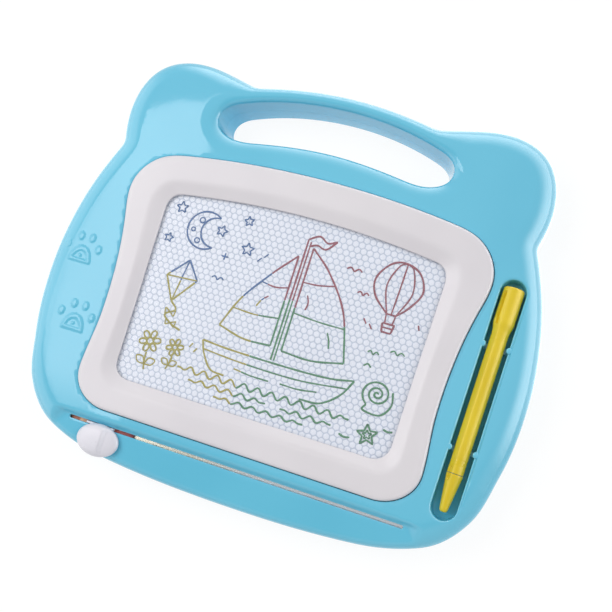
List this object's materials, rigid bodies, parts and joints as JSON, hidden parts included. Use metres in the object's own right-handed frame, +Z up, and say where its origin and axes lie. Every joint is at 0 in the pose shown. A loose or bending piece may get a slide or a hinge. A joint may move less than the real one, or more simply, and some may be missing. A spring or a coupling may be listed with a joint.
{
  "type": "kids drawing board",
  "caption": "Flat plastic magnetic drawing board with a carrying handle, framed honeycomb screen, sliding eraser and a pen in a side recess.",
  "frame": {"origin": "under the middle of the board's box, on the surface that the board lies on", "axes": "+X to the right of the screen, +Y from the eraser towards the carrying handle, +Z up out of the screen"},
  "size_m": [0.2704, 0.229, 0.0273],
  "materials": {
    "blue_plastic": "glossy sky-blue injection-moulded plastic",
    "off_white_plastic": "satin off-white injection-moulded plastic",
    "clear_film": "thin clear plastic film",
    "honeycomb_plastic": "pale grey honeycomb cells filled with magnetic slurry",
    "cream_plastic": "cream moulded plastic",
    "brown_red_plastic": "brown-red moulded plastic",
    "yellow_plastic": "glossy yellow moulded plastic",
    "ferrite_rubber": "dark flexible magnet strip",
    "magnet_steel": "plain metal",
    "screw_steel": "plain steel screw"
  },
  "bodies": {
    "casing": {"front_casing": "blue_plastic", "back_cover": "blue_plastic", "bezel": "off_white_plastic", "screen_front_film": "clear_film", "screen_honeycomb_core": "honeycomb_plastic", "screen_back_film": "clear_film", "lower_rail": "cream_plastic", "upper_rail": "cream_plastic", "screw_1": "screw_steel", "screw_2": "screw_steel", "screw_3": "screw_steel", "screw_4": "screw_steel", "screw_5": "screw_steel", "screw_6": "screw_steel", "screw_7": "screw_steel", "screw_8": "screw_steel"},
    "eraser": {"eraser_knob": "off_white_plastic", "eraser_carrier": "brown_red_plastic", "eraser_arm": "off_white_plastic", "eraser_magnet": "ferrite_rubber"},
    "pen": {"pen_barrel": "yellow_plastic", "pen_nose": "yellow_plastic", "pen_cap": "yellow_plastic", "pen_magnet": "magnet_steel"}
  },
  "joints": [
    {"name": "eraser_slide", "type": "slide", "parent": "casing", "child": "eraser", "axis": [1, 0, 0], "range_m": [0, 0.1488]},
    {"name": "pen_lift", "type": "slide", "parent": "casing", "child": "pen", "axis": [0, 0, 1], "range_m": [0, 0.04]}
  ]
}
